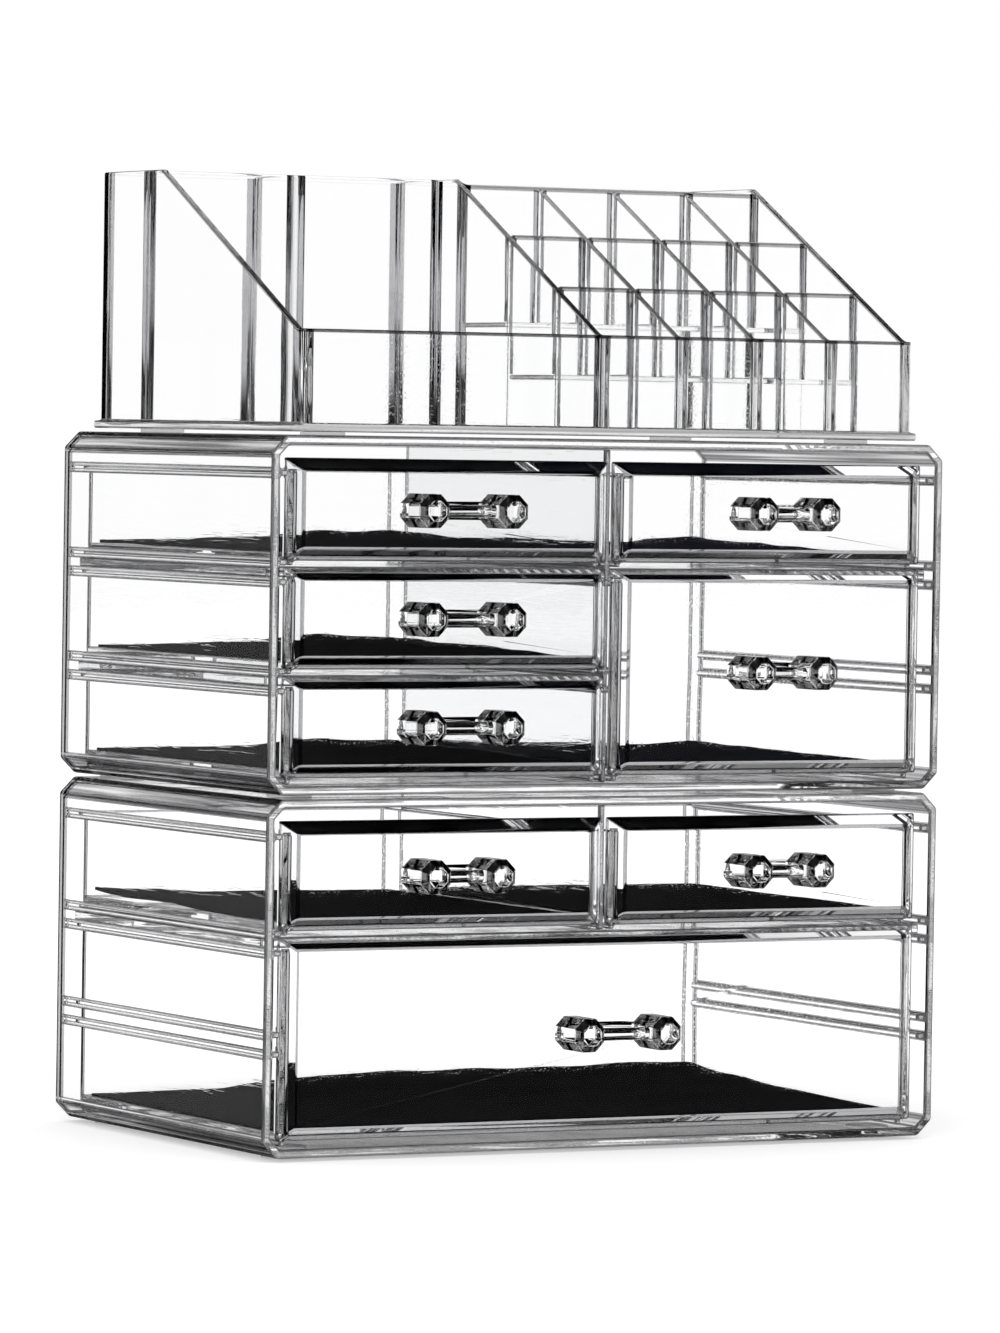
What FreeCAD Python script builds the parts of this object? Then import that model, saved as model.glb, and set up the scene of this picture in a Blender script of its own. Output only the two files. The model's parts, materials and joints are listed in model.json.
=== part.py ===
import FreeCAD, Part
import math
import os
from FreeCAD import Vector

# Two stacking cases of clear drawers with a compartment tray on top.
#
# Frame: +X to the right, +Y to the back, +Z up, in millimetres. The origin is the middle of
# the bounding box, on the surface that the feet stand on. Heights named *_z are measured
# from that surface, and the drawers open towards -Y.

# ---- Cases -------------------------------------------------------------------------
case_width = 240.0
case_depth = 148.0
case_height = 109.8
shell_wall = 2.8
shell_chamfer = 5.0          # cut off each long edge at 45 degrees
back_thickness = 2.4
cement_film = 0.1            # gap between two pieces that are cemented together

# ---- Feet --------------------------------------------------------------------------
foot_diameter = 14.0
foot_height = 1.2
foot_inset = 15.0            # from the side and the front of a case to the middle of a foot

# ---- Drawer fronts -----------------------------------------------------------------
row_count = 3
front_gap = 1.8              # between two neighbouring fronts
front_side_margin = 3.4      # from the case's inner wall to the nearest front
front_top_margin = 3.9
front_bottom_margin = 2.3
lower_shelf_drop = 2.3       # the small drawers of the lower case are a little taller
front_setback = 0.5          # how far the fronts lie behind the case's front edge
front_thickness = 4.2
bevel_width = 5.0            # at the left and right ends of a front
bevel_height = 3.7           # along its top and bottom
bevel_depth = 3.4

# ---- Drawer boxes ------------------------------------------------------------------
drawer_back_clearance = 0.8  # between the closed drawer and the back panel
box_inset = 2.2              # from the edge of the front to the side of the box
box_wall = 1.8
box_floor = 1.8
box_corner_radius = 2.4
box_headroom = 0.8           # under the shelf above
skid_width = 2.0
slide_clearance = 0.3

# ---- Shelves, dividers and ribs ----------------------------------------------------
shelf_thickness = 3.4
shelf_clearance = 0.3
divider_thickness = 2.4
rib_thickness = 2.0
rib_projection = 3.2
divider_rib_projection = 1.4
rib_back_margin = 3.2
shelf_back_margin = 10.0
inner_front_clearance = 0.5  # behind the drawer fronts

# ---- Liners ------------------------------------------------------------------------
liner_thickness = 1.6
liner_seat = 0.2
liner_margin = 1.0
liner_back_margin = 5.2
liner_curl_length = 38.0     # the back end of the pad lifts off the floor
liner_curl_height = 4.0
wide_liner_curl_height = 8.0

# ---- Handles -----------------------------------------------------------------------
post_across_flats = 10.5
post_length = 16.0
post_end_chamfer = 2.2
post_root_chamfer = 1.0
bar_diameter = 4.0
bar_setback = 5.2            # from the outer end of the posts to the middle of the bar
long_handle_span = 27.4
short_handle_span = 22.6
spigot_diameter = 4.0
spigot_clearance = 0.1
spigot_end_clearance = 0.4
handle_seat = 0.1

# ---- Tray --------------------------------------------------------------------------
tray_width = 218.0
tray_depth = 142.0
tray_height = 82.0
tray_front_inset = 2.5       # behind the front edge of the case
tray_front_height = 31.5
tray_level_length = 43.0     # flat top of the side walls, from the back
tray_wall = 2.0
tray_floor = 2.4
tray_corner_radius = 1.0
tray_inner_radius = 0.6
tray_flange = 2.5
tray_flange_thickness = 2.4
tray_foot_height = 1.2
slope_blend_radius = 9.0
slope_blend_start = 1.5      # level run at the front wall before the blend

# ---- Tray compartments -------------------------------------------------------------
inner_wall = 1.8
centre_wall_offset = -3.0    # the open half is a little narrower than the slotted one
rear_row_depth = 31.5        # from the back of the tray to the middle of the row's wall
slot_columns = 4
slot_rows = 3
slot_row_pitch = 31.5
slot_wall = 1.6
slot_step = 16.7
step_thickness = 1.6
lap_clearance = 0.1

# ---- Worked out from the sizes above -----------------------------------------------
handle_overhang = post_length + handle_seat - front_setback
case_front = (handle_overhang - case_depth) / 2
case_back = case_front + case_depth
half_width = case_width / 2
inner_half_width = half_width - shell_wall
inner_height = case_height - 2 * shell_wall
used_height = inner_height - front_top_margin - front_bottom_margin
front_height = (used_height - (row_count - 1) * front_gap) / row_count
row_pitch = front_height + front_gap
front_left = -inner_half_width + front_side_margin
front_face = case_front + front_setback
front_back = front_face + front_thickness
inner_front = front_back + inner_front_clearance
drawer_back = case_back - back_thickness - drawer_back_clearance
divider_side = divider_thickness / 2
lower_base_z = foot_height
upper_base_z = lower_base_z + case_height + foot_height
tray_base_z = upper_base_z + case_height + tray_foot_height


diagonal = 0.5 ** 0.5        # sine and cosine of 45 degrees


def box(x0, x1, y0, y1, z0, z1):
    """A block between two corners."""
    return Part.makeBox(x1 - x0, y1 - y0, z1 - z0, Vector(x0, y0, z0))


def inner_cut(cut, wall):
    """The chamfer inside a wall of even thickness, worked out from the one on its outside."""
    return cut - wall * (2 - 2 * diagonal)


def chamfered_outline(x0, x1, z0, z1, cut, y):
    """A rectangle with its corners cut off at 45 degrees, which stands in the plane at y."""
    points = [(x0 + cut, z0), (x1 - cut, z0), (x1, z0 + cut), (x1, z1 - cut),
              (x1 - cut, z1), (x0 + cut, z1), (x0, z1 - cut), (x0, z0 + cut)]
    ring = [Vector(x, y, z) for x, z in points]
    return Part.makePolygon(ring + [ring[0]])


def chamfered_tube(x0, x1, y0, y1, z0, z1, cut, wall):
    """A rectangular tube along Y with chamfered edges and an even wall, open at both ends."""
    run = Vector(0, y1 - y0, 0)
    outer = Part.Face(chamfered_outline(x0, x1, z0, z1, cut, y0)).extrude(run)
    bore = chamfered_outline(x0 + wall, x1 - wall, z0 + wall, z1 - wall,
                             inner_cut(cut, wall), y0)
    return outer.cut(Part.Face(bore).extrude(run))


def rounded_block(x0, x1, y0, y1, z0, z1, radius):
    """A block with round upright edges."""
    block = box(x0, x1, y0, y1, z0, z1)
    upright = [edge for edge in block.Edges
               if abs(edge.tangentAt(edge.FirstParameter).z) > diagonal]
    return block.makeFillet(radius, upright)


def write_node(name, shape):
    """One STEP file for one named piece."""
    shape.exportStep(os.path.join("parts", name + ".step"))


# ---- Cases --------------------------------------------------------------------------

def front_bottom(base_z, row):
    """Lower edge of the front in a row, counted from the bottom."""
    dropped = base_z == lower_base_z and row == row_count - 1
    drop = lower_shelf_drop if dropped else 0
    return base_z + shell_wall + front_bottom_margin + row * row_pitch - drop


def shelf_top(base_z, row):
    """Top of the shelf that carries a row: level with the top of the front below it."""
    if row == 0:
        return base_z + shell_wall
    return front_bottom(base_z, row) - front_gap


def groove(base_z, row):
    """Lower and upper face of the groove that holds the shelf under a row."""
    top = shelf_top(base_z, row)
    return top - shelf_thickness - shelf_clearance, top + shelf_clearance


def lower_rib(base_z, row, x0, x1, start):
    """The rib under the groove of a row, from a depth to the back."""
    under = groove(base_z, row)[0]
    return box(x0, x1, start, case_back - rib_back_margin, under - rib_thickness, under)


def upper_rib(base_z, row, x0, x1, start):
    """The rib over the groove of a row, from a depth to the back."""
    over = groove(base_z, row)[1]
    return box(x0, x1, start, case_back - rib_back_margin, over, over + rib_thickness)


def case_shell(base_z):
    """Roof, sides and floor in one chamfered tube, with shelf ribs on both sides."""
    shell = chamfered_tube(-half_width, half_width, case_front, case_back,
                           base_z, base_z + case_height, shell_chamfer, shell_wall)
    root = inner_half_width + shell_wall / 2
    tip = inner_half_width - rib_projection
    ribs = []
    for x0, x1 in ((-root, -tip), (tip, root)):
        for row in range(1, row_count + 1):
            ribs.append(lower_rib(base_z, row, x0, x1, front_face))
        for row in range(1, row_count):
            ribs.append(upper_rib(base_z, row, x0, x1, front_face))
    return shell.fuse(ribs).removeSplitter()


def case_back_panel(base_z):
    """The panel cemented into the back of the tube."""
    reach = inner_half_width - cement_film
    low = base_z + shell_wall + cement_film
    high = base_z + case_height - shell_wall - cement_film
    cut = inner_cut(shell_chamfer, shell_wall + cement_film)
    wire = chamfered_outline(-reach, reach, low, high, cut, case_back - back_thickness)
    return Part.Face(wire).extrude(Vector(0, back_thickness, 0))


def shelf(base_z, row, x0, x1):
    """A shelf between two walls, slid into the grooves from the front."""
    top = shelf_top(base_z, row)
    return box(x0 + cement_film, x1 - cement_film, inner_front, case_back - shelf_back_margin,
               top - shelf_thickness, top)


def tall_divider(base_z, left_rows, right_rows):
    """Middle wall from floor to roof, with grooves for the shelves on either side."""
    wall = box(-divider_side, divider_side, inner_front, case_back - shelf_back_margin,
               base_z + shell_wall + cement_film,
               base_z + case_height - shell_wall - cement_film)
    tip = divider_side + divider_rib_projection
    ribs = []
    for rows, x0, x1 in ((left_rows, -tip, 0), (right_rows, 0, tip)):
        for row in rows:
            ribs.append(lower_rib(base_z, row, x0, x1, inner_front))
            ribs.append(upper_rib(base_z, row, x0, x1, inner_front))
    divider = wall.fuse(ribs).removeSplitter()
    slab = box(-case_width, case_width, case_front, case_back - shelf_back_margin,
               base_z, base_z + case_height)
    return divider.common(slab)


def short_divider(base_z, row):
    """Middle wall that stands on the shelf of a row and reaches the roof."""
    return box(-divider_side, divider_side, inner_front, case_back - shelf_back_margin,
               shelf_top(base_z, row) + cement_film,
               base_z + case_height - shell_wall - cement_film)


def feet(x0, x1, y0, y1, base_z, height):
    """Four round pads under the corners of a rectangle."""
    pads = []
    for x in (x0 + foot_inset, x1 - foot_inset):
        for y in (y0 + foot_inset, y1 - foot_inset):
            pads.append(Part.makeCylinder(foot_diameter / 2, height,
                                          Vector(x, y, base_z - height)))
    return Part.makeCompound(pads)


def case_feet(base_z):
    """The pads under a case."""
    return feet(-half_width, half_width, case_front, case_back, base_z, foot_height)


# ---- Drawers ------------------------------------------------------------------------

def drawer_span(row, rows_high, base_z):
    """Lower and upper edge of a front that covers one or more rows."""
    return front_bottom(base_z, row), front_bottom(base_z, row + rows_high) - front_gap


def box_top(row, rows_high, base_z):
    """Rim of a drawer box, clear of the shelf or roof above."""
    above = row + rows_high
    return groove(base_z, above)[0] + shelf_clearance - box_headroom


def bevelled_front(x0, x1, z0, z1):
    """A plate whose face is framed by four sloping bevels, mitred at the corners."""
    rim = front_face + bevel_depth
    outline = Part.makePolygon([Vector(x0, rim, z0), Vector(x1, rim, z0), Vector(x1, rim, z1),
                                Vector(x0, rim, z1), Vector(x0, rim, z0)])
    xa, xb = x0 + bevel_width, x1 - bevel_width
    za, zb = z0 + bevel_height, z1 - bevel_height
    face = Part.makePolygon([Vector(xa, front_face, za), Vector(xb, front_face, za),
                             Vector(xb, front_face, zb), Vector(xa, front_face, zb),
                             Vector(xa, front_face, za)])
    bevel = Part.makeLoft([outline, face], True, True)
    return bevel.fuse(box(x0, x1, rim, front_back, z0, z1))


def drawer(x0, x1, row, rows_high, base_z, span):
    """Front, open box and skids in one moulding, with two holes for the handle."""
    low, high = drawer_span(row, rows_high, base_z)
    left, right = x0 + box_inset, x1 - box_inset
    rim = box_top(row, rows_high, base_z)
    outer = rounded_block(left, right, front_back - front_thickness / 2, drawer_back, low, rim,
                          box_corner_radius)
    hollow = rounded_block(left + box_wall, right - box_wall, front_back, drawer_back - box_wall,
                           low + box_floor, rim + box_wall, box_corner_radius - box_wall)
    skid_low = shelf_top(base_z, row) + slide_clearance
    skids = [box(x, x + skid_width, inner_front, drawer_back - box_corner_radius, skid_low,
                 low + box_floor / 2) for x in (left, right - skid_width)]
    body = bevelled_front(x0, x1, low, high).fuse([outer] + skids).removeSplitter()
    holes = [Part.makeCylinder(spigot_diameter / 2 + spigot_clearance, front_thickness,
                               Vector(x, front_face, (low + high) / 2), Vector(0, 1, 0))
             for x in post_places(x0, x1, span)]
    return body.cut(hollow).cut(holes).removeSplitter()


def post_places(x0, x1, span):
    """Where the two posts of a handle stand, across a front."""
    middle = (x0 + x1) / 2
    return middle - span / 2, middle + span / 2


def liner(x0, x1, row, base_z, curl_height):
    """A pad on the drawer's floor, whose back end lifts in a gentle curl."""
    left = x0 + box_inset + box_wall + liner_margin
    right = x1 - box_inset - box_wall - liner_margin
    bottom = front_bottom(base_z, row) + box_floor + liner_seat
    start = front_back + liner_margin
    end = drawer_back - box_wall - liner_back_margin
    bend = end - liner_curl_length
    radius = (liner_curl_length ** 2 + curl_height ** 2) / (2 * curl_height)
    half_turn = math.asin(liner_curl_length / radius) / 2

    def side(z):
        """Level run and curl of the lower or upper face, from the front to the back."""
        rise = radius * (1 - math.cos(half_turn))
        points = [Vector(left, start, z), Vector(left, bend, z),
                  Vector(left, bend + radius * math.sin(half_turn), z + rise),
                  Vector(left, end, z + curl_height)]
        return points, [Part.LineSegment(points[0], points[1]).toShape(),
                        Part.Arc(points[1], points[2], points[3]).toShape()]

    under, under_edges = side(bottom)
    over, over_edges = side(bottom + liner_thickness)
    ends = [Part.LineSegment(under[0], over[0]).toShape(),
            Part.LineSegment(under[-1], over[-1]).toShape()]
    outline = Part.Wire(Part.sortEdges(under_edges + over_edges + ends)[0])
    return Part.Face(outline).extrude(Vector(right - left, 0, 0))


def octagon(x, y, z, across_flats):
    """An upright octagon in the plane at y, with flats at its top, bottom and sides."""
    flat = across_flats / 2
    corner = flat * math.tan(math.pi / 8)
    points = [(corner, flat), (flat, corner), (flat, -corner), (corner, -flat),
              (-corner, -flat), (-flat, -corner), (-flat, corner), (-corner, flat)]
    ring = [Vector(x + dx, y, z + dz) for dx, dz in points]
    return Part.makePolygon(ring + [ring[0]])


def handle(x0, x1, row, rows_high, base_z, span):
    """Two faceted posts joined by a bar, with a spigot behind each post."""
    low, high = drawer_span(row, rows_high, base_z)
    z = (low + high) / 2
    root = front_face - handle_seat
    tip = root - post_length
    places = post_places(x0, x1, span)
    pieces = []
    for x in places:
        sections = [octagon(x, tip, z, post_across_flats - 2 * post_end_chamfer),
                    octagon(x, tip + post_end_chamfer, z, post_across_flats),
                    octagon(x, root - post_root_chamfer, z, post_across_flats),
                    octagon(x, root, z, post_across_flats - 2 * post_root_chamfer)]
        pieces.append(Part.makeLoft(sections, True, True))
        pieces.append(Part.makeCylinder(spigot_diameter / 2,
                                        front_thickness + handle_seat - spigot_end_clearance
                                        + post_root_chamfer,
                                        Vector(x, root - post_root_chamfer, z), Vector(0, 1, 0)))
    bar = Part.makeCylinder(bar_diameter / 2, places[1] - places[0],
                            Vector(places[0], tip + bar_setback, z), Vector(1, 0, 0))
    return bar.fuse(pieces).removeSplitter()


# ---- Tray ---------------------------------------------------------------------------

tray_left = -tray_width / 2
tray_right = tray_width / 2
tray_front = case_front + tray_front_inset
tray_back = tray_front + tray_depth
tray_floor_z = tray_base_z + tray_floor
tray_top_z = tray_base_z + tray_height
tray_front_z = tray_base_z + tray_front_height
slope_back = tray_back - tray_level_length
rear_wall_y = tray_back - rear_row_depth
centre_wall_left = centre_wall_offset - inner_wall / 2
slot_left = centre_wall_offset + inner_wall / 2
slot_right = tray_right - tray_wall
slot_pitch = (slot_right - slot_left) / slot_columns


def slope_front():
    """Where the straight slope would meet the height of the front wall."""
    return tray_front + tray_wall + slope_blend_start


def above_slope(x0, x1):
    """Everything over the sloping top line: level, slope, blend, level front."""
    run = slope_back - slope_front()
    rise = tray_top_z - tray_front_z
    length = (run * run + rise * rise) ** 0.5
    turn_tangent = rise / (run + length)
    reach = slope_blend_radius * turn_tangent
    knee = Vector(x0, slope_front(), tray_front_z)
    up_slope = Vector(0, run / length, rise / length)
    on_slope = knee + up_slope * reach
    on_level = knee - Vector(0, reach, 0)
    centre = on_level + Vector(0, 0, slope_blend_radius)
    towards = knee - centre
    middle = centre + towards * (slope_blend_radius / towards.Length)
    sky = tray_top_z + tray_height
    outside = tray_front - tray_flange - slope_blend_radius
    corners = [on_slope, Vector(x0, slope_back, tray_top_z), Vector(x0, slope_back, sky),
               Vector(x0, outside, sky), Vector(x0, outside, tray_front_z), on_level]
    edges = [Part.LineSegment(a, b).toShape() for a, b in zip(corners, corners[1:])]
    edges.append(Part.Arc(on_level, middle, on_slope).toShape())
    return Part.Face(Part.Wire(Part.sortEdges(edges)[0])).extrude(Vector(x1 - x0, 0, 0))


def slope_height(y):
    """Height of the sloping line at a depth, ignoring its blend."""
    share = (y - slope_front()) / (slope_back - slope_front())
    share = max(0.0, min(1.0, share))
    return tray_front_z + share * (tray_top_z - tray_front_z)


def tray_shell():
    """Flanged floor and four outer walls in one moulding, cut to the sloping side line."""
    outer = rounded_block(tray_left, tray_right, tray_front, tray_back, tray_base_z, tray_top_z,
                          tray_corner_radius)
    pocket = rounded_block(tray_left + tray_wall, tray_right - tray_wall,
                           tray_front + tray_wall, tray_back - tray_wall,
                           tray_floor_z, tray_top_z + tray_wall, tray_inner_radius)
    flange = rounded_block(tray_left - tray_flange, tray_right + tray_flange, tray_front, tray_back,
                           tray_base_z, tray_base_z + tray_flange_thickness, tray_corner_radius)
    shell = outer.fuse(flange).cut(pocket)
    return shell.cut(above_slope(tray_left - 2 * tray_flange, tray_right + 2 * tray_flange))


def standing_wall(y0, x0, x1, thickness, low, high):
    """An upright plate across the tray."""
    return box(x0 + cement_film, x1 - cement_film, y0 - thickness / 2, y0 + thickness / 2,
               low + cement_film, high)


def centre_wall():
    """The wall from front to back between the open half and the lipstick slots."""
    wall = box(centre_wall_left, slot_left, tray_front + tray_wall + cement_film,
               tray_back - tray_wall - cement_film, tray_floor_z + cement_film, tray_top_z)
    return wall.cut(above_slope(centre_wall_left - tray_wall, slot_left + tray_wall))


def rear_wall():
    """The wall in front of the two tall compartments, in the left half."""
    return standing_wall(rear_wall_y, tray_left + tray_wall, centre_wall_left, inner_wall,
                         tray_floor_z, tray_top_z)


def rear_partition():
    """The wall between the two tall compartments."""
    middle = (tray_left + tray_wall + centre_wall_left) / 2
    return box(middle - inner_wall / 2, middle + inner_wall / 2,
               rear_wall_y + inner_wall / 2 + cement_film, tray_back - tray_wall - cement_film,
               tray_floor_z + cement_film, tray_top_z)


def slot_row_back(row):
    """Depth of the middle of the wall behind a row of slots, counted from the front."""
    return tray_front + tray_wall + (row + 1) * slot_row_pitch - slot_wall / 2


def slot_floor_z(row):
    """Top of the floor of a row of slots: each row stands a step higher."""
    return tray_floor_z + row * slot_step


def slot_step_floor(row):
    """The raised floor under a row of slots."""
    front = slot_row_back(row - 1) + slot_wall / 2 + cement_film
    back = slot_row_back(row) - slot_wall / 2 - cement_film
    top = slot_floor_z(row)
    return box(slot_left + cement_film, slot_right - cement_film, front, back,
               top - step_thickness, top)


def slot_column_places():
    """Middles of the walls between the columns of slots."""
    return [slot_left + column * slot_pitch for column in range(1, slot_columns)]


def lap_height(y):
    """Where a row wall and a column wall halve into each other."""
    return (slot_floor_z(slot_rows - 1) + slope_height(y)) / 2


def slot_row_wall(row):
    """A wall behind a row of slots, notched from above for the column walls."""
    y = slot_row_back(row)
    wall = standing_wall(y, slot_left, slot_right, slot_wall, tray_floor_z, slope_height(y))
    reach = slot_wall / 2 + lap_clearance
    notches = [box(x - reach, x + reach, y - slot_wall, y + slot_wall,
                   lap_height(y) - lap_clearance, tray_top_z + tray_wall)
               for x in slot_column_places()]
    if row == slot_rows - 1:
        return wall
    return wall.cut(notches)


def slot_column_wall(x):
    """A wall between two columns of slots, standing on the stepped floors."""
    back = slot_row_back(slot_rows - 1) - slot_wall / 2 - cement_film
    front = tray_front + tray_wall + cement_film
    wall = box(x - slot_wall / 2, x + slot_wall / 2, front, back,
               tray_floor_z + cement_film, tray_top_z)
    wall = wall.cut(above_slope(x - slot_wall, x + slot_wall))
    cuts = []
    for row in range(1, slot_rows):
        y = slot_row_back(row - 1)
        step_front = y - slot_wall / 2 - lap_clearance
        cuts.append(box(x - slot_wall, x + slot_wall, step_front, tray_back,
                        tray_floor_z, slot_floor_z(row) + cement_film))
        cuts.append(box(x - slot_wall, x + slot_wall, step_front,
                        y + slot_wall / 2 + lap_clearance,
                        tray_floor_z, lap_height(y) + lap_clearance))
    return wall.cut(cuts)


def tray_feet():
    """The pads under the tray."""
    return feet(tray_left, tray_right, tray_front, tray_back, tray_base_z, tray_foot_height)


# ---- Assembly -----------------------------------------------------------------------

left_bay = (front_left, -front_gap / 2)
right_bay = (front_gap / 2, -front_left)
both_bays = (front_left, -front_left)

drawers = [
    ("upper_left_top", left_bay, 2, 1, upper_base_z, long_handle_span, liner_curl_height),
    ("upper_left_middle", left_bay, 1, 1, upper_base_z, long_handle_span, liner_curl_height),
    ("upper_left_bottom", left_bay, 0, 1, upper_base_z, long_handle_span, liner_curl_height),
    ("upper_right_top", right_bay, 2, 1, upper_base_z, short_handle_span, liner_curl_height),
    ("upper_right_deep", right_bay, 0, 2, upper_base_z, short_handle_span, liner_curl_height),
    ("lower_left", left_bay, 2, 1, lower_base_z, short_handle_span, liner_curl_height),
    ("lower_right", right_bay, 2, 1, lower_base_z, short_handle_span, liner_curl_height),
    ("wide", both_bays, 0, 2, lower_base_z, long_handle_span, wide_liner_curl_height),
]


def write_cases():
    """Both cases with their backs, shelves, dividers and feet."""
    for name, base_z in (("lower", lower_base_z), ("upper", upper_base_z)):
        write_node(name + "_case_shell", case_shell(base_z))
        write_node(name + "_case_back", case_back_panel(base_z))
        write_node(name + "_case_feet", case_feet(base_z))
    write_node("lower_case_shelf", shelf(lower_base_z, 2, -inner_half_width, inner_half_width))
    write_node("lower_case_divider", short_divider(lower_base_z, 2))
    write_node("upper_case_divider", tall_divider(upper_base_z, (1, 2), (1, 2)))
    write_node("upper_left_high_shelf", shelf(upper_base_z, 2, -inner_half_width, -divider_side))
    write_node("upper_left_low_shelf", shelf(upper_base_z, 1, -inner_half_width, -divider_side))
    write_node("upper_right_shelf", shelf(upper_base_z, 2, divider_side, inner_half_width))


def write_drawers():
    """Each drawer with its handle and its liner."""
    for name, (x0, x1), row, rows_high, base_z, span, curl_height in drawers:
        write_node(name + "_drawer", drawer(x0, x1, row, rows_high, base_z, span))
        write_node(name + "_handle", handle(x0, x1, row, rows_high, base_z, span))
        write_node(name + "_liner", liner(x0, x1, row, base_z, curl_height))


def write_tray():
    """The tray with its inner walls, lipstick slots and feet."""
    write_node("tray_shell", tray_shell())
    write_node("tray_centre_wall", centre_wall())
    write_node("tray_rear_wall", rear_wall())
    write_node("tray_rear_partition", rear_partition())
    write_node("tray_feet", tray_feet())
    for row in range(slot_rows):
        write_node("slot_row_wall_%d" % (row + 1), slot_row_wall(row))
        if row > 0:
            write_node("slot_step_%d" % row, slot_step_floor(row))
    for index, x in enumerate(slot_column_places()):
        write_node("slot_column_wall_%d" % (index + 1), slot_column_wall(x))


os.makedirs("parts", exist_ok=True)
write_cases()
write_drawers()
write_tray()
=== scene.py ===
import bpy
import json
import math
import numpy as np
from mathutils import Matrix, Vector


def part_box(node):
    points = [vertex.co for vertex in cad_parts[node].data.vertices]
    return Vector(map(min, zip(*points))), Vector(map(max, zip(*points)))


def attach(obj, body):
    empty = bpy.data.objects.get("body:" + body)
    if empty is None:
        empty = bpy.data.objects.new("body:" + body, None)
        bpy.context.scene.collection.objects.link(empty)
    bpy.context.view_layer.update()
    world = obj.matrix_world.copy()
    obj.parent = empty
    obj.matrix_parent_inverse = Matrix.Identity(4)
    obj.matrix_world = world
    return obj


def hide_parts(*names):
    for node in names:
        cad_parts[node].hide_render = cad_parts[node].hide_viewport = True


# Clear stacking drawer cases with a lipstick tray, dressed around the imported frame.
# Metres, +X to the right, +Y to the back, +Z up; the drawers open towards -Y.

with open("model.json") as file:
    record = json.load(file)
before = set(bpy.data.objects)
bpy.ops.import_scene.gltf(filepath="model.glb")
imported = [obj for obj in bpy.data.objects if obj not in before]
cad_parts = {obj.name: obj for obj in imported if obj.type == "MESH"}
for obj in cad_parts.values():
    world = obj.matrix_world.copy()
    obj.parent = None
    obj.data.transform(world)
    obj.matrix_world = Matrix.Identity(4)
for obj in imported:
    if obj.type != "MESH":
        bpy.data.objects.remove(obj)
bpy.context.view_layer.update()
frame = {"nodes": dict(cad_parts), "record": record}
nodes = frame["nodes"]
scene = bpy.context.scene

MM = 0.001

# ---- Camera ------------------------------------------------------------------------

CAMERA_AZIMUTH = math.radians(-28.681)
CAMERA_ELEVATION = math.radians(1.836)
CAMERA_ROLL = math.radians(0.913)
CAMERA_DISTANCE = 2.4
CAMERA_OFFSET = -3.421 * MM          # to the side of the object's axis
AIM_HEIGHT = 149.056 * MM
FOCAL_PIXELS = 7510.3                # in a picture 1333 pixels high
PICTURE_HEIGHT = 1333
SENSOR_MM = 36.0
FARTHEST_SEEN = 50                   # metres


def make_camera():
    """A long lens, low and to the left of the front; its three axes are columns of a matrix."""
    turn, rise, roll = CAMERA_AZIMUTH, CAMERA_ELEVATION, CAMERA_ROLL
    back = Vector((math.sin(turn) * math.cos(rise), -math.cos(turn) * math.cos(rise),
                   math.sin(rise)))
    level = Vector((math.cos(turn), math.sin(turn), 0))
    up = back.cross(level)
    right = level * math.cos(roll) + up * math.sin(roll)
    upright = up * math.cos(roll) - level * math.sin(roll)
    place = Vector((0, 0, AIM_HEIGHT)) + back * CAMERA_DISTANCE + level * CAMERA_OFFSET
    data = bpy.data.cameras.new("camera")
    data.sensor_width = SENSOR_MM
    data.lens = FOCAL_PIXELS * SENSOR_MM / PICTURE_HEIGHT
    data.clip_end = FARTHEST_SEEN
    camera = bpy.data.objects.new("camera", data)
    camera.matrix_world = Matrix((right, upright, back)).transposed().to_4x4()
    camera.location = place
    scene.collection.objects.link(camera)
    scene.camera = camera


# ---- Node helpers ------------------------------------------------------------------

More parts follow.
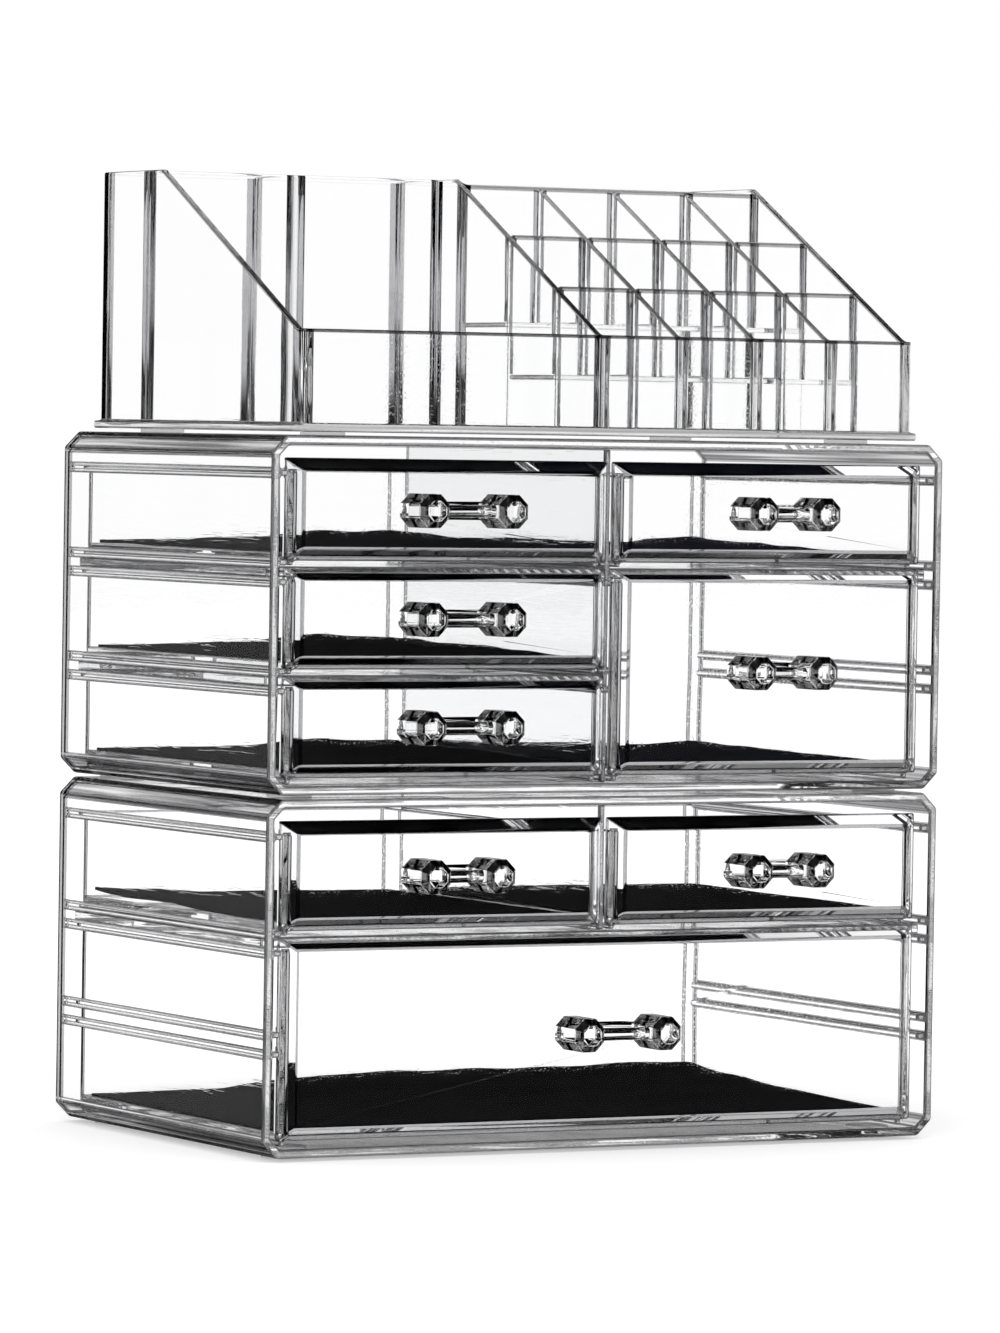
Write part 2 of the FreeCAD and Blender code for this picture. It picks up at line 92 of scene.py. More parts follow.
class Tree:
    """Short words for building a node tree. A source is a node's output."""

    def __init__(self, owner):
        owner.use_nodes = True
        self.tree = owner.node_tree
        self.tree.nodes.clear()

    def add(self, kind, **settings):
        node = self.tree.nodes.new(kind)
        for name, value in settings.items():
            setattr(node, name, value)
        return node

    def join(self, source, target):
        self.tree.links.new(source, target)

    def place(self):
        """The point on the piece, in metres, in the frame that all pieces share."""
        return self.add("ShaderNodeTexCoord").outputs["Object"]

    def normal(self):
        return self.add("ShaderNodeNewGeometry").outputs["Normal"]

    def axes(self, source):
        """The X, Y and Z of a point or a direction."""
        node = self.add("ShaderNodeSeparateXYZ")
        self.join(source, node.inputs[0])
        return node.outputs

    def math(self, operation, first, second):
        node = self.add("ShaderNodeMath", operation=operation)
        for socket, value in zip(node.inputs, (first, second)):
            if isinstance(value, (int, float)):
                socket.default_value = value
            else:
                self.join(value, socket)
        return node.outputs[0]

    def size(self, source):
        """A number without its sign."""
        return self.math("ABSOLUTE", source, 0)

    def spread(self, source, low, high, at_low, at_high):
        """A straight line from at_low to at_high between two values, level outside them."""
        node = self.add("ShaderNodeMapRange", clamp=True)
        self.join(source, node.inputs[0])
        for socket, value in zip(node.inputs[1:5], (low, high, at_low, at_high)):
            socket.default_value = value
        return node.outputs[0]

    def noise(self, place, scale, detail=0):
        node = self.add("ShaderNodeTexNoise")
        node.inputs["Scale"].default_value = scale
        node.inputs["Detail"].default_value = detail
        self.join(place, node.inputs["Vector"])
        return node.outputs[0]

    def long_noise(self, place, scales, turn=(0, 0, 0)):
        """Noise with a scale of its own along each axis, turned by three angles."""
        node = self.add("ShaderNodeMapping")
        node.inputs["Rotation"].default_value = turn
        node.inputs["Scale"].default_value = scales
        self.join(place, node.inputs["Vector"])
        return self.noise(node.outputs[0], 1)

    def bump(self, height, strength, distance, invert=False):
        node = self.add("ShaderNodeBump", invert=invert)
        node.inputs["Strength"].default_value = strength
        node.inputs["Distance"].default_value = distance
        self.join(height, node.inputs["Height"])
        return node.outputs[0]

    def ramp(self, source, *stops):
        """Greys or colours at places from 0 to 1, with straight lines between them."""
        node = self.add("ShaderNodeValToRGB")
        points = node.color_ramp.elements
        while len(points) < len(stops):
            points.new(0.5)
        for point, (place, value) in zip(points, stops):
            point.position = place
            point.color = (value, value, value, 1) if isinstance(value, (int, float)) else value
        self.join(source, node.inputs[0])
        return node.outputs[0]

    def mix(self, share, first, second):
        """The first shader where share is 0, and the second where it is 1."""
        node = self.add("ShaderNodeMixShader")
        for socket, source in zip(node.inputs, (share, first, second)):
            self.join(source, socket)
        return node.outputs[0]

    def ray(self, kind):
        """1 for rays of that kind, such as Is Camera Ray, and 0 for others."""
        return self.add("ShaderNodeLightPath").outputs[kind]


def new_material(name):
    material = bpy.data.materials.new(name)
    t = Tree(material)
    return material, t, t.add("ShaderNodeOutputMaterial")


# ---- Clear plastic -----------------------------------------------------------------

IOR_ACRYLIC = 1.49
CLEAR_TINT = (0.999, 0.9992, 0.9995)
LAMP_SHARE = 0.93                      # of a lamp's light that one face lets through
OPEN_SHINE = 0.08                      # share of Fresnel's mirror where a face is seen plainly
TRAPPED_SHINE = 0.98                   # and where light is trapped inside a wall
TRAPPED_POWER = 3                      # how late the second takes over from the first
WAVE_STRENGTH = 0.1
WAVE_HEIGHT = 1 * MM
WAVE_SCALE = 45                        # a scale is how often noise turns in a metre
SCRATCH_SCALES = (1500, 60, 1500)
SCRATCH_TURN = (0.5, 0.3, 0.6)
SCRATCH_LEVELS = (0.70, 0.76)          # of the noise, so that few scratches show
SCRATCH_DEPTH = 0.02                   # as a share of the waves
SMUDGE_SCALE = 60
SMUDGE_LEVELS = (0.45, 0.7)
HAZE = 0.012                           # roughness that handling leaves on polished plastic


def surface_detail(t, place):
    """The slow waves of a moulded sheet, and over them a few hairline scratches."""
    waves = t.noise(place, WAVE_SCALE)
    hairs = t.spread(t.long_noise(place, SCRATCH_SCALES, SCRATCH_TURN), *SCRATCH_LEVELS,
                     0, SCRATCH_DEPTH)
    return t.bump(t.math("SUBTRACT", waves, hairs), WAVE_STRENGTH, WAVE_HEIGHT)


def mirror_share(t):
    """A small part of Fresnel's share where that is low, and nearly all of it where it is high."""
    fresnel = t.add("ShaderNodeFresnel")
    fresnel.inputs["IOR"].default_value = IOR_ACRYLIC
    outer = t.math("MULTIPLY", fresnel.outputs[0], OPEN_SHINE)
    steep = t.math("POWER", fresnel.outputs[0], TRAPPED_POWER)
    return t.math("ADD", outer, t.math("MULTIPLY", steep, TRAPPED_SHINE - OPEN_SHINE))


def clear_plastic(name, tint=CLEAR_TINT, dark=0.4, painted_shade_places=None):
    """Polished acrylic: it bends what is behind it and mirrors a share of what Fresnel's law
    gives, nearly all of it where light is trapped in a wall. The optional mask paints shade: where
    it is 1, the colour that the plastic passes is greyed to dark, on the rims, chamfers and facets
    that bent light leaves dark."""
    material, t, out = new_material(name)
    place = t.place()
    bent = t.add("ShaderNodeBsdfRefraction")
    bent.inputs["Color"].default_value = (*tint, 1)
    bent.inputs["IOR"].default_value = IOR_ACRYLIC
    bent.inputs["Roughness"].default_value = 0
    # Painted shade: the mask greys the passed colour towards dark.
    if painted_shade_places:
        t.join(t.ramp(painted_shade_places(t, place), (0, (*tint, 1)), (1, dark)), bent.inputs["Color"])
    mirror = t.add("ShaderNodeBsdfGlossy")
    mirror.inputs["Color"].default_value = (1, 1, 1, 1)
    smudges = t.spread(t.noise(place, SMUDGE_SCALE), *SMUDGE_LEVELS, 0, HAZE)
    t.join(smudges, mirror.inputs["Roughness"])
    detail = surface_detail(t, place)
    for shader in (bent, mirror):
        t.join(detail, shader.inputs["Normal"])
    glass = t.mix(mirror_share(t), bent.outputs[0], mirror.outputs[0])
    for_lamps = t.add("ShaderNodeBsdfTransparent")
    for_lamps.inputs[0].default_value = (LAMP_SHARE, LAMP_SHARE, LAMP_SHARE, 1)
    t.join(t.mix(t.ray("Is Shadow Ray"), glass, for_lamps.outputs[0]), out.inputs[0])
    return material


# ---- Painted shade on the plastic --------------------------------------------------

LINE_SCALES = (14, 14, 900)            # lines of painted shade that turn with height and run along the walls
LINE_LEVELS = (0.36, 0.6)
FAINTEST_LINE = 0.2

# The rim of the tray's walls: level at the back, a slope, and level again at the front.
RIM_DROP = 50.5 * MM
LEVEL_BACK_LENGTH = 43.0 * MM
LEVEL_FRONT_LENGTH = 3.5 * MM
tray_low, tray_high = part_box("tray_shell")
RIM_BACK_Y, RIM_BACK_Z = tray_high.y - LEVEL_BACK_LENGTH, tray_high.z
RIM_FRONT_Y, RIM_FRONT_Z = tray_low.y + LEVEL_FRONT_LENGTH, tray_high.z - RIM_DROP
# Painted shade: a dark line under the rim of every wall, and a lined share in the floor.
RIM_HEIGHT = (0.9 * MM, 1.2 * MM)      # the rim's painted shade fades between these depths under the edge
RIM_FADE = 3 * MM                      # and over this length where the level back starts
LEVEL_RIM_SHARE = 0.05
TRAY_FLOOR_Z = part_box("tray_centre_wall")[0].z
FLOOR_FADE = (-0.2 * MM, 0.1 * MM)     # about the floor's upper face
FLOOR_SHARE = 0.6

# Painted shade on a case's long chamfers, found by the slant of their normal.
CHAMFER_SLANT = (0.40, 0.48)           # X times Z of the normal, which is 0.5 at 45 degrees

# Depths on a handle's post, from its outer end, and parts of the normal on its facets.
POST_END_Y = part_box("wide_handle")[0].y
CHAMFER_START = (0.15 * MM, 0.35 * MM)
CHAMFER_END = (1.9 * MM, 2.1 * MM)
LOWER_TO_UPPER = (-0.2, 0.2)           # the normal's Z
LOWER_SHARE = 0.72
LEVEL_FACET = (0.5, 0.65)              # the normal's Z without its sign
LEVEL_FACET_SHARE = 0.75
FACET_ALONG_POST = (0.05, 0.2)         # the normal's Y without its sign
FACET_DEEPENS = (2 * MM, 9 * MM)
FACET_START_SHARE = 0.4


def level_lines(t, place):
    """A share from 0.2 to 1 in long level lines, which streak the painted shade: noise that turns
    about once in a millimetre of height and hardly at all along a wall."""
    return t.spread(t.long_noise(place, LINE_SCALES), *LINE_LEVELS, FAINTEST_LINE, 1)


def painted_rim_shade(t, place):
    """A mask of painted shade: 1 in the top millimetre of every wall of the tray, less along the
    level back, and some of it in the thick floor and its flange."""
    _, y, z = t.axes(place)
    rim = t.spread(y, RIM_FRONT_Y, RIM_BACK_Y, RIM_FRONT_Z, RIM_BACK_Z)
    near = t.spread(t.math("SUBTRACT", rim, z), *RIM_HEIGHT, 1, 0)
    level = t.spread(y, RIM_BACK_Y, RIM_BACK_Y + RIM_FADE, 1, LEVEL_RIM_SHARE)
    floor = t.spread(t.math("SUBTRACT", z, TRAY_FLOOR_Z), *FLOOR_FADE, FLOOR_SHARE, 0)
    lined = t.math("MULTIPLY", floor, level_lines(t, place))
    return t.math("MAXIMUM", t.math("MULTIPLY", near, level), lined)


def painted_chamfer_shade(t, place):
    """A mask of painted shade: 1 on the chamfers that run along the long edges of a case, inside
    and out, in level lines."""
    x, _, z = t.axes(t.normal())
    chamfer = t.spread(t.size(t.math("MULTIPLY", x, z)), *CHAMFER_SLANT, 0, 1)
    return t.math("MULTIPLY", chamfer, level_lines(t, place))


def handle_shade(t, place):
    """1 on the upper half of the chamfer round the outer end of a post, and less on its lower
    half and on the facets that look up or down, where the cut facets throw the light away."""
    depth = t.math("SUBTRACT", t.axes(place)["Y"], POST_END_Y)
    _, facing_y, facing_z = t.axes(t.normal())
    start = t.spread(depth, *CHAMFER_START, 0, 1)
    stop = t.spread(depth, *CHAMFER_END, 1, 0)
    upper = t.spread(facing_z, *LOWER_TO_UPPER, LOWER_SHARE, 1)
    chamfer = t.math("MULTIPLY", t.math("MULTIPLY", start, stop), upper)
    level = t.spread(t.size(facing_z), *LEVEL_FACET, 0, LEVEL_FACET_SHARE)
    lengthwise = t.spread(t.size(facing_y), *FACET_ALONG_POST, 1, 0)
    deeper = t.spread(depth, *FACET_DEEPENS, FACET_START_SHARE, 1)
    facets = t.math("MULTIPLY", t.math("MULTIPLY", level, lengthwise), deeper)
    return t.math("MAXIMUM", chamfer, facets)


# ---- Cloth and rubber --------------------------------------------------------------

CLOTH_UV = "cut"                       # the cloth's flat cut, in millimetres
THREAD_PITCH = 0.9                     # mm
THREAD_TURN = math.pi / THREAD_PITCH
THREAD_HEIGHT = 0.3 * MM
HOLE_LIGHT = 1.25                      # of a hole between threads; a crossing has 0.25
FLUFF_SCALE = 0.12                     # for each millimetre of cloth
SHADE_LEVELS = (0.15, 0.75)            # with the cloth's darkest and its lightest colour
RUBBER_ALPHA = 0.35
GRAIN_SCALE = 700
GRAIN_HEIGHT = 0.2 * MM
GRAIN_LEVELS = (0.3, 0.7)              # of the noise, with the next two pairs
RUBBER_GREYS = (0.72, 0.82)
RUBBER_ROUGHNESS = (0.35, 0.5)


def black_mesh(name, dark, light):
    """Black mesh cloth: crossed threads 0.9 mm apart with small holes between them."""
    material, t, out = new_material(name)
    cloth = t.add("ShaderNodeBsdfPrincipled")
    cloth.inputs["Roughness"].default_value = 0.95
    cloth.inputs["Specular IOR Level"].default_value = 0.02
    cloth.inputs["Sheen Weight"].default_value = 0.008
    cloth.inputs["Sheen Roughness"].default_value = 0.6
    weave = t.add("ShaderNodeUVMap", uv_map=CLOTH_UV).outputs[0]
    x, y, _ = t.axes(weave)
    across, along = (t.size(t.math("SINE", t.math("MULTIPLY", way, THREAD_TURN), 0))
                     for way in (x, y))
    threads = t.math("MULTIPLY", across, along)
    fluff = t.noise(weave, FLUFF_SCALE, detail=4)
    shade = t.math("MULTIPLY", t.math("SUBTRACT", HOLE_LIGHT, threads), fluff)
    colours = ((*dark, 1), (*light, 1))
    t.join(t.ramp(shade, *zip(SHADE_LEVELS, colours)), cloth.inputs["Base Color"])
    relief = t.bump(threads, strength=0.5, distance=THREAD_HEIGHT, invert=True)
    t.join(relief, cloth.inputs["Normal"])
    t.join(cloth.outputs[0], out.inputs[0])
    return material


def clear_rubber(name):
    """Soft, slightly milky rubber with a fine matt grain."""
    material, t, out = new_material(name)
    rubber = t.add("ShaderNodeBsdfPrincipled")
    rubber.inputs["Alpha"].default_value = RUBBER_ALPHA
    grain = t.noise(t.place(), GRAIN_SCALE, detail=2)
    t.join(t.ramp(grain, *zip(GRAIN_LEVELS, RUBBER_GREYS)), rubber.inputs["Base Color"])
    t.join(t.spread(grain, *GRAIN_LEVELS, *RUBBER_ROUGHNESS), rubber.inputs["Roughness"])
    t.join(t.bump(grain, strength=0.2, distance=GRAIN_HEIGHT), rubber.inputs["Normal"])
    t.join(rubber.outputs[0], out.inputs[0])
    return material


# ---- Finishes and edges of the pieces ----------------------------------------------

# The case, handle and tray plastic carry the painted shade of the masks above; the cloth and
# rubber are the pieces' own colours.
FINISHES = {
    "clear_case": clear_plastic("case_acrylic", painted_shade_places=painted_chamfer_shade, dark=0.45),
    "clear_drawer": clear_plastic("drawer_acrylic"),
    "clear_handle": clear_plastic("handle_acrylic", painted_shade_places=handle_shade, dark=0.03),
    "clear_tray": clear_plastic("tray_acrylic", painted_shade_places=painted_rim_shade),
    "clear_foot": clear_rubber("foot_rubber"),
    "liner_mesh": black_mesh("liner_cloth", (0.0015, 0.0015, 0.002), (0.006, 0.006, 0.008)),
}
# Painted shade: the rounded edges of cases and drawers are grey, for the dark lines that bent
# light draws along them.
EDGE_PAINTED_SHADE = clear_plastic("acrylic_edges_painted_shade", tint=(0.45, 0.45, 0.46))
# Painted shade: the upper case's divider is greyed a little, for the grey that it shows seen at a
# slant.
DIVIDER_PAINTED_SHADE = clear_plastic("divider_acrylic_painted_shade", tint=(0.93, 0.932, 0.935))
# Painted shade: the tray's corner fillets are grey, for the grey upright lines that bent light
# shows in the corners, and they carry the rim's painted shade too.
FILLET_PAINTED_SHADE = clear_plastic("tray_fillet_acrylic_painted_shade", tint=(0.66, 0.66, 0.67), painted_shade_places=painted_rim_shade)
BLUE_CLOTH = black_mesh("liner_cloth_blue", (0.0012, 0.0014, 0.006), (0.004, 0.005, 0.020))
SHADED_NODE_FINISHES = {"upper_case_divider": DIVIDER_PAINTED_SHADE}
# kinds whose rounded edges take the grey edge material, painted shade
DARK_EDGED = ("clear_case", "clear_drawer")

EDGE_RADIUS = {"clear_case": 0.75 * MM, "clear_drawer": 0.7 * MM, "clear_handle": 0.25 * MM,
               "clear_tray": 0.75 * MM, "clear_foot": 0.3 * MM, "liner_mesh": 0}
TRAY_SHELL_RADIUS = 0.6 * MM           # smaller, because its upright corners are tight
POINT_MERGE = 0.3 * MM                 # points nearer than this become one before the rounding
TRAY_SHELL_MERGE = 0.5 * MM
HANDLE_MERGE = 0.01 * MM
EDGE_SEGMENTS = 3
SHARP = math.radians(30)               # edges that turn more than this are rounded


def soften_edges(node, radius, merge, painted_edge_shade):
    """Sharp edges get a small radius, as moulded and polished plastic has. Where an edge material
    is given, the rounded faces take it: grey plastic as painted shade along the edges.
    """
    weld = node.modifiers.new("weld", "WELD")
    weld.merge_threshold = merge
    bevel = node.modifiers.new("edges", "BEVEL")
    bevel.width = radius
    bevel.segments = EDGE_SEGMENTS
    bevel.limit_method = "ANGLE"
    bevel.angle_limit = SHARP
    bevel.harden_normals = True
    bevel.use_clamp_overlap = False
    if painted_edge_shade:
        node.data.materials.append(painted_edge_shade)
        bevel.material = len(node.data.materials) - 1


def dress_nodes():
    for part in frame["record"]["subparts"]:
        node = nodes[part["node"]]
        kind = part["material_slot"]
        for slot in node.material_slots:
            slot.material = SHADED_NODE_FINISHES.get(part["node"], FINISHES[kind])
        radius = EDGE_RADIUS[kind]
        merge = HANDLE_MERGE if kind == "clear_handle" else POINT_MERGE
        if part["node"] == "tray_shell":
            radius, merge = TRAY_SHELL_RADIUS, TRAY_SHELL_MERGE
        if radius:
            soften_edges(node, radius, merge, EDGE_PAINTED_SHADE if kind in DARK_EDGED else None)


# ---- Cloth liners ------------------------------------------------------------------

CLOTH_THICKNESS = 1.0 * MM
CLOTH_STEP = 1.6 * MM                  # between the points of a liner's grid

# For each drawer: how high in millimetres the cloth's back edge stands at places from left (0)
# to right (1), how fast it comes down towards the front, and the seed of its small waves.
LINERS = {
    "upper_left_top": (((0, 0.6), (0.3, 1.0), (0.55, 1.6), (0.75, 4.3), (0.88, 3.5), (1, 3.9)),
                       0.9, 3),
    "upper_left_middle": (((0, 0.2), (0.5, 0.9), (0.74, 3.3), (0.85, 2.7), (1, 2.5)), 0.8, 8),
    "upper_left_bottom": (((0, 0.3), (0.5, 0.6), (0.74, 2.4), (0.85, 1.9), (1, 2.2)), 1.0, 15),
    "upper_right_top": (((0, 1.2), (0.3, 1.6), (0.74, 0.9), (0.82, 1.9), (1, 2.3)), 1.4, 21),
    "upper_right_deep": (((0, 1.6), (0.4, 1.2), (0.8, 0.2), (1, 1.1)), 1.0, 27),
    "lower_left": (((0, 2.0), (0.2, 1.2), (0.4, 0.3), (1, 0.1)), 1.2, 33),
    "lower_right": (((0, 0.2), (0.4, 0.4), (0.8, 0.2), (1, 0.1)), 1.4, 40),
    "wide": (((0, 0.1), (0.2, 0.4), (0.33, 3.3), (0.5, 4.3), (0.6, 4.5), (0.7, 4.0), (0.9, 4.4),
              (1, 3.8)), 1.7, 46),
}
BLUE_LINERS = ("upper_right_top", "upper_right_deep")
WAVE_LENGTHS = (23 * MM, 34 * MM, 51 * MM, 77 * MM)
SMALL_WAVE = 0.3 * MM
LOOSE_LIFT = 1.5 * MM                  # cloth lifted this far has the full small waves
FLAT_WAVE_SHARE = 0.25                 # and cloth that lies flat has this share of them


def eased(x, stops):
    """Between two stops the value follows half a cosine wave; x is an array from 0 to 1."""
    places = np.array([place for place, value in stops])
    values = np.array([value for place, value in stops])
    step = np.clip(np.searchsorted(places, x, side="right") - 1, 0, len(stops) - 2)
    share = (x - places[step]) / (places[step + 1] - places[step])
    return values[step] + (values[step + 1] - values[step]) * (1 - np.cos(math.pi * share)) / 2


def grid_mesh(name, points, uv):
    """A sheet from an array of points, rows by columns; its faces look towards +Z."""
    rows, columns = points.shape[:2]
    index = np.arange(rows * columns).reshape(rows, columns)
    faces = np.stack([index[:-1, :-1], index[:-1, 1:], index[1:, 1:], index[1:, :-1]], axis=-1)
    mesh = bpy.data.meshes.new(name)
    mesh.from_pydata(points.reshape(-1, 3).tolist(), [], faces.reshape(-1, 4).tolist())
    layer = mesh.uv_layers.new(name=CLOTH_UV)
    layer.data.foreach_set("uv", uv.reshape(-1, 2)[faces.reshape(-1)].ravel())
    mesh.polygons.foreach_set("use_smooth", np.ones(len(mesh.polygons), bool))
    piece = bpy.data.objects.new(name, mesh)
    scene.collection.objects.link(piece)
    return piece


def small_waves(x, y, seed):
    """The sum of sines of four lengths, each with a seeded direction and phase."""
    draw = np.random.default_rng(seed)
    waves = np.zeros_like(x)
    for length in WAVE_LENGTHS:
        turn, phase = draw.uniform(0, 2 * math.pi, 2)
        waves += np.sin((x * math.cos(turn) + y * math.sin(turn)) * 2 * math.pi / length + phase)
    return waves


def cloth_liner(drawer):
    """A cut sheet laid in a drawer. Its height over the drawer's floor is the height of its back
    edge at that X, times a power of how far back the point lies, plus small waves, which never
    take it below the floor. Its flat cut is its width by the length along its rows."""
    back_edge, power, seed = LINERS[drawer]
    low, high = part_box(drawer + "_liner")
    columns = int((high.x - low.x) / CLOTH_STEP)
    rows = int((high.y - low.y) / CLOTH_STEP)
    u, v = np.meshgrid(np.linspace(0, 1, columns), np.linspace(0, 1, rows))
    x = low.x + (high.x - low.x) * u
    y = low.y + (high.y - low.y) * v
    lift = eased(u, back_edge) * MM * v ** power
    share = np.clip(lift / LOOSE_LIFT, FLAT_WAVE_SHARE, 1)
    rise = np.maximum(lift + (small_waves(x, y, seed) / 2 + 1) * SMALL_WAVE * share, 0)
    points = np.stack([x, y, low.z + rise], axis=-1)
    step = np.hypot(np.diff(y, axis=0), np.diff(rise, axis=0))
    length = np.vstack([np.zeros(columns), np.cumsum(step, axis=0)])
    uv = np.stack([x - low.x, length], axis=-1) / MM
    piece = grid_mesh(drawer + "_cloth", points, uv)
    wall = piece.modifiers.new("thickness", "SOLIDIFY")
    wall.thickness = CLOTH_THICKNESS
    wall.offset = 1
    piece.data.materials.append(BLUE_CLOTH if drawer in BLUE_LINERS else FINISHES["liner_mesh"])
    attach(piece, drawer)
    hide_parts(drawer + "_liner")


# ---- Tray fillets ------------------------------------------------------------------

FILM = 0.1 * MM                        # between two cemented pieces
FILLET_RADIUS = 2.3 * MM
SLOT_FILLET_RADIUS = 1.5 * MM
FILLET_STEPS = 6
FILLET_TOP = 0.5 * MM                  # below the rims of the walls
MOULD_CORNER = 0.25 * MM               # the moulded corners of the tray are round themselves
CORNERS = ((1, 1), (-1, 1), (1, -1), (-1, -1))     # from each, the way to the middle in X and Y


def tray_cells():
    """Each compartment of the tray: its left, right, front, back and floor, its fillets' radius
    and the height of the wall in front of it."""
    centre, rear, part = (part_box("tray_" + name) for name in
                          ("centre_wall", "rear_wall", "rear_partition"))
    rows = [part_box("slot_row_wall_%d" % row) for row in (1, 2, 3)]
    columns = [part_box("slot_column_wall_%d" % column) for column in (1, 2, 3)]
    left, right = rear[0].x - FILM, rows[0][1].x + FILM
    front, back = centre[0].y - FILM, centre[1].y + FILM
    floor = centre[0].z
    cells = [(left, centre[0].x, front, rear[0].y, floor, FILLET_RADIUS, RIM_FRONT_Z),
             (left, part[0].x, rear[1].y, back, floor, FILLET_RADIUS, RIM_BACK_Z),
             (part[1].x, centre[0].x, rear[1].y, back, floor, FILLET_RADIUS, RIM_BACK_Z),
             (centre[1].x, right, rows[2][1].y, back, floor, FILLET_RADIUS, RIM_BACK_Z)]
    starts = [centre[1].x] + [column[1].x for column in columns]
    ends = [column[0].x for column in columns] + [right]
    floors = [floor] + [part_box("slot_step_%d" % step)[1].z + FILM for step in (1, 2)]
    fronts = [front] + [row[1].y for row in rows[:2]]
    heights = [RIM_FRONT_Z] + [row[1].z for row in rows[:2]]
    for low_y, row, low_z, height in zip(fronts, rows, floors, heights):
        cells += [(low_x, high_x, low_y, row[0].y, low_z, SLOT_FILLET_RADIUS, height)
                  for low_x, high_x in zip(starts, ends)]
    return np.array(cells)


def fillet_rings(cells):
    """The lower and the upper ring of points of each fillet, one in every corner of a
    compartment. In plan each is the corner point and a quarter circle about (r, r) that bends
    towards it; its top follows the rim of the walls, a level, a slope and a level, and is no
    higher than the wall that it joins."""
    side_x, side_y = np.tile(CORNERS, (len(cells), 1)).T
    cells = np.repeat(cells, len(CORNERS), axis=0)
    left, right, front, back, floor, radius, front_height = cells.T
    x = np.where(side_x > 0, left, right)
    y = np.where(side_y > 0, front, back)
    turn = np.linspace(0, math.pi / 2, FILLET_STEPS + 1)
    along, across = radius[:, None] * (1 - np.sin(turn)), radius[:, None] * (1 - np.cos(turn))
    mirrored = (side_x * side_y < 0)[:, None]
    along, across = (np.where(mirrored, way[:, ::-1], way) for way in (along, across))
    corner = np.full((len(cells), 1), MOULD_CORNER)
    px = x[:, None] + side_x[:, None] * (FILM + np.hstack([corner, along]))
    py = y[:, None] + side_y[:, None] * (FILM + np.hstack([corner, across]))
    rim = np.interp(py, [RIM_FRONT_Y, RIM_BACK_Y], [RIM_FRONT_Z, RIM_BACK_Z])
    ceiling = np.where(side_y > 0, front_height, RIM_BACK_Z)[:, None]
    top = np.minimum(rim, ceiling) - FILLET_TOP
    base = np.broadcast_to(floor[:, None] + FILM, top.shape)
    return np.stack([np.stack([px, py, base], axis=-1), np.stack([px, py, top], axis=-1)], axis=1)


def tray_fillets():
    """The fillets in the upright corners of every compartment: closed prisms, each with walls
    between its two rings and a fan of triangles over each ring."""
    points = fillet_rings(tray_cells())
    fillets, _, count = points.shape[:3]
    ring = np.arange(count)
    after = (ring + 1) % count
    walls = np.stack([ring, after, after + count, ring + count], axis=-1)
    fan = np.stack([np.zeros(count - 2, int), ring[1:-1], ring[2:]], axis=-1)
    offsets = (np.arange(fillets) * 2 * count)[:, None, None]
    faces = (offsets + walls).reshape(-1, 4).tolist()
    faces += (offsets + fan[:, ::-1]).reshape(-1, 3).tolist()
    faces += (offsets + fan + count).reshape(-1, 3).tolist()
    mesh = bpy.data.meshes.new("tray_fillets")
    mesh.from_pydata(points.reshape(-1, 3).tolist(), [], faces)
    smooth = np.zeros(len(faces), bool)
    smooth[:fillets * count] = np.tile((ring > 0) & (ring < count - 1), fillets)
    mesh.polygons.foreach_set("use_smooth", smooth)
    mesh.materials.append(FILLET_PAINTED_SHADE)
    piece = bpy.data.objects.new("tray_fillets", mesh)
    scene.collection.objects.link(piece)
    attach(piece, "tray")


# ---- Surroundings ------------------------------------------------------------------

MIRROR_SHARE = 0.12                    # how bright the plastic mirrors what is around it
# How bright the surroundings are, by how far up or down the plastic bends its view.
TENT = ((0.0, 1.0), (0.30, 1.0), (0.42, 0.02), (0.80, 0.02), (0.92, 0.6))
LAMP_GREY = 0.8
FLOOR_REACH = 6.0                      # metres from the object to the edge of the floor
FLOOR_GREY = 0.9
FLOOR_GLOW = 0.35
KEY_SIZE = 1.2                         # metres
KEY_WATTS = 12
KEY_PLACE = (-0.6, -1.0, 1.8)
KEY_TURN = (math.radians(30), 0, math.radians(-30))


def seen(t):
    """1 for what the camera sees, straight or through and in the plastic."""
    through = t.math("MAXIMUM", t.ray("Is Glossy Ray"), t.ray("Is Transmission Ray"))
    return t.math("MAXIMUM", t.ray("Is Camera Ray"), through)


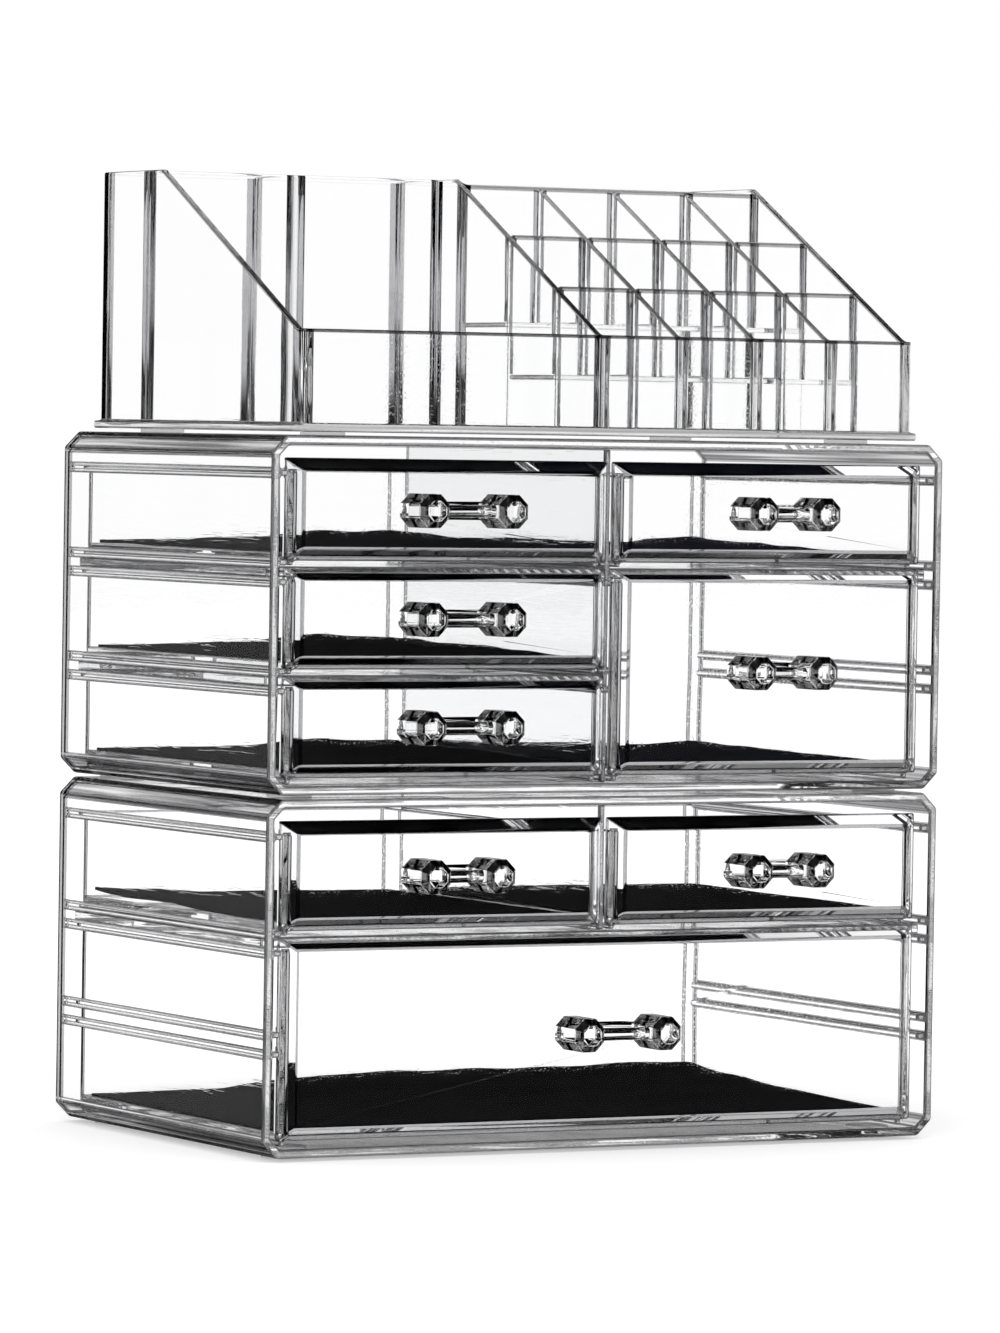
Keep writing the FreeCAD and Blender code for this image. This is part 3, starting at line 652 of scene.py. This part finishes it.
def make_world():
    """White all round for the camera. What the plastic bends towards itself is white near the
    horizon and dark overhead, as in a light tent, and lamp light from the world is even."""
    world = bpy.data.worlds.new("studio")
    scene.world = world
    t = Tree(world)
    out = t.add("ShaderNodeOutputWorld")
    height = t.size(t.axes(t.add("ShaderNodeTexCoord").outputs["Generated"])["Z"])
    # MIRROR_SHARE to the power 1 for mirrored rays, and to the power 0, which is 1, for others.
    mirrored = t.math("POWER", MIRROR_SHARE, t.ray("Is Reflection Ray"))
    tent = t.math("MULTIPLY", t.ramp(height, *TENT), mirrored)
    white = t.add("ShaderNodeBackground")
    t.join(t.math("MAXIMUM", tent, t.ray("Is Camera Ray")), white.inputs[0])
    soft = t.add("ShaderNodeBackground")
    soft.inputs[0].default_value = (LAMP_GREY, LAMP_GREY, LAMP_GREY, 1)
    t.join(t.mix(seen(t), soft.outputs[0], white.outputs[0]), out.inputs[0])


def floor_material():
    """Pale and a little bright of itself to what sees it, and dim in the plastic's mirrors."""
    material, t, out = new_material("floor")
    base = t.add("ShaderNodeBsdfDiffuse")
    base.inputs[0].default_value = (FLOOR_GREY, FLOOR_GREY, FLOOR_GREY, 1)
    glow = t.add("ShaderNodeEmission")
    t.join(t.math("MULTIPLY", seen(t), FLOOR_GLOW), glow.inputs[1])
    bright = t.add("ShaderNodeAddShader")
    t.join(base.outputs[0], bright.inputs[0])
    t.join(glow.outputs[0], bright.inputs[1])
    faint = t.add("ShaderNodeEmission")
    faint.inputs[1].default_value = MIRROR_SHARE
    mixed = t.mix(t.ray("Is Reflection Ray"), bright.outputs[0], faint.outputs[0])
    t.join(mixed, out.inputs[0])
    return material


def make_floor():
    """A pale floor that looks nearly white and keeps the object's shadow."""
    size = FLOOR_REACH
    mesh = bpy.data.meshes.new("floor")
    mesh.from_pydata([(-size, -size, 0), (size, -size, 0), (size, size, 0), (-size, size, 0)],
                     [], [(0, 1, 2, 3)])
    mesh.materials.append(floor_material())
    floor = bpy.data.objects.new("floor", mesh)
    scene.collection.objects.link(floor)


def make_lamps():
    """One soft lamp above, in front and to the left."""
    data = bpy.data.lights.new("key", "AREA")
    data.size = KEY_SIZE
    data.energy = KEY_WATTS
    lamp = bpy.data.objects.new("key", data)
    lamp.location = KEY_PLACE
    lamp.rotation_euler = KEY_TURN
    scene.collection.objects.link(lamp)


def set_light_paths():
    """Enough bounces for light to pass the many clear walls."""
    scene.cycles.max_bounces = 64
    scene.cycles.transmission_bounces = 40
    scene.cycles.glossy_bounces = 48
    scene.cycles.transparent_max_bounces = 64
    scene.cycles.diffuse_bounces = 2
    scene.cycles.caustics_reflective = False
    scene.cycles.caustics_refractive = False


make_camera()
dress_nodes()
for drawer in LINERS:
    cloth_liner(drawer)
tray_fillets()
make_world()
make_floor()
make_lamps()
set_light_paths()
scene.view_settings.view_transform = "Standard"
